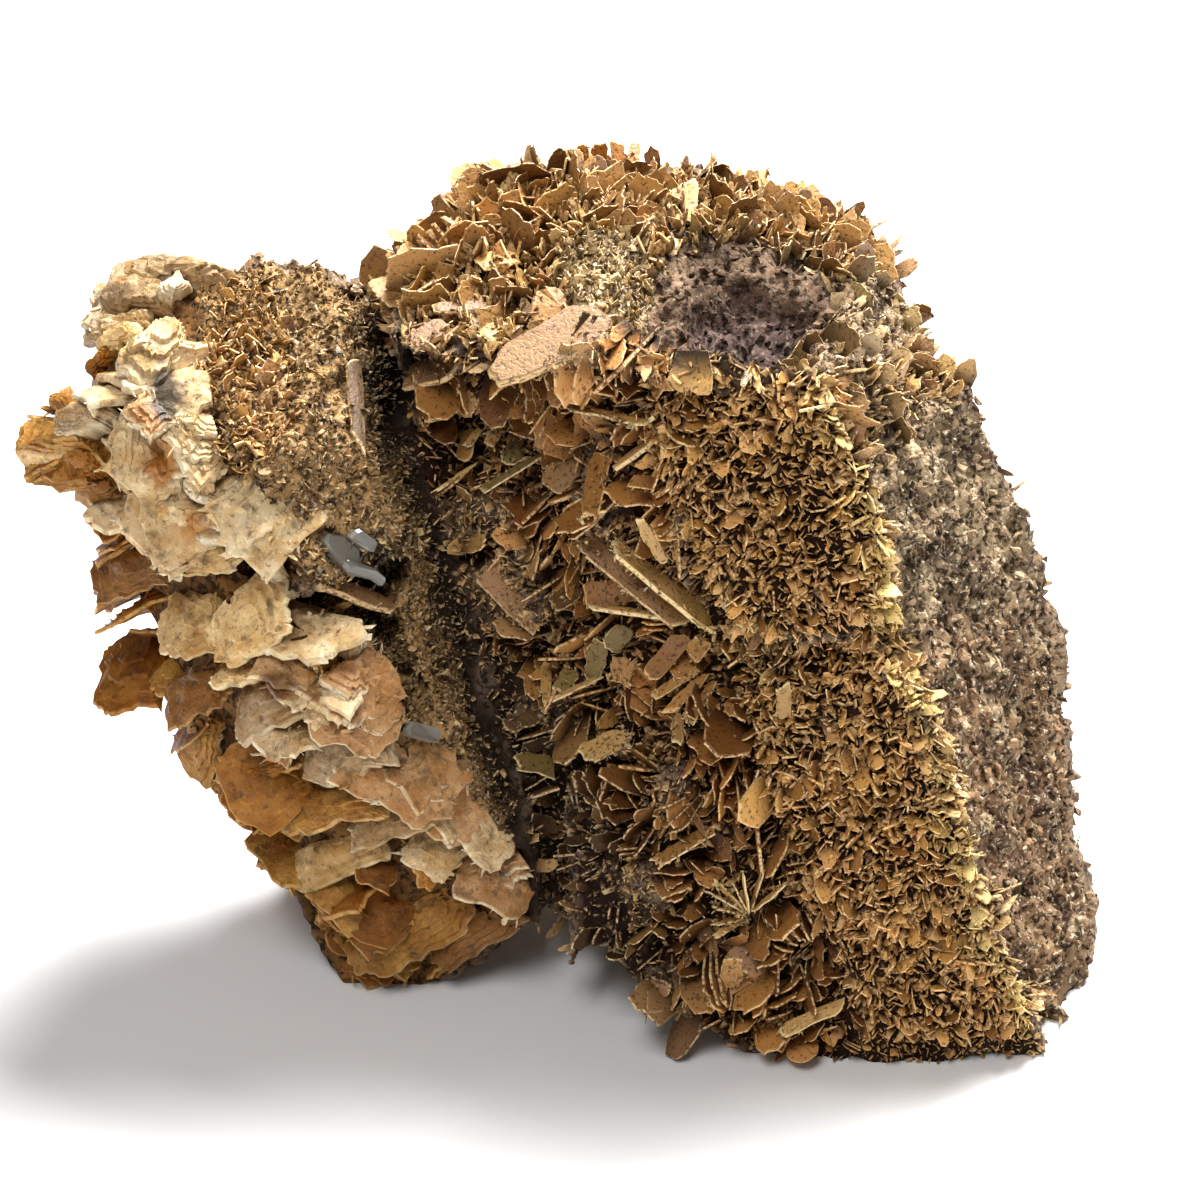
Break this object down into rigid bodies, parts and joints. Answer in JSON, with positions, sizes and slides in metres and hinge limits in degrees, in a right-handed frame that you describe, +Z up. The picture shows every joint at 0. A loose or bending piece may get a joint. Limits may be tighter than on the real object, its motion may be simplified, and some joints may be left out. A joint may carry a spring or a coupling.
{
  "type": "barite specimen",
  "caption": "Cabinet mineral specimen: rock crusted with standing tan barite blades, with a lobe of thick honey and cream plates, standing free.",
  "frame": {"origin": "middle of the specimen's box in X and Y, on the surface that it rests on", "axes": "+Z up, +X to the right along the longest extent as seen from the bladed front, +Y towards the back"},
  "size_m": [0.1694, 0.0916, 0.1261],
  "materials": {
    "grey_brown_matrix": "rough, granular",
    "tan_blades": "satin, thin translucent edges",
    "honey_plates": "waxy, translucent",
    "cream_plates": "waxy, translucent"
  },
  "bodies": {
    "root": {"barite_specimen": "grey_brown_matrix"}
  },
  "joints": []
}
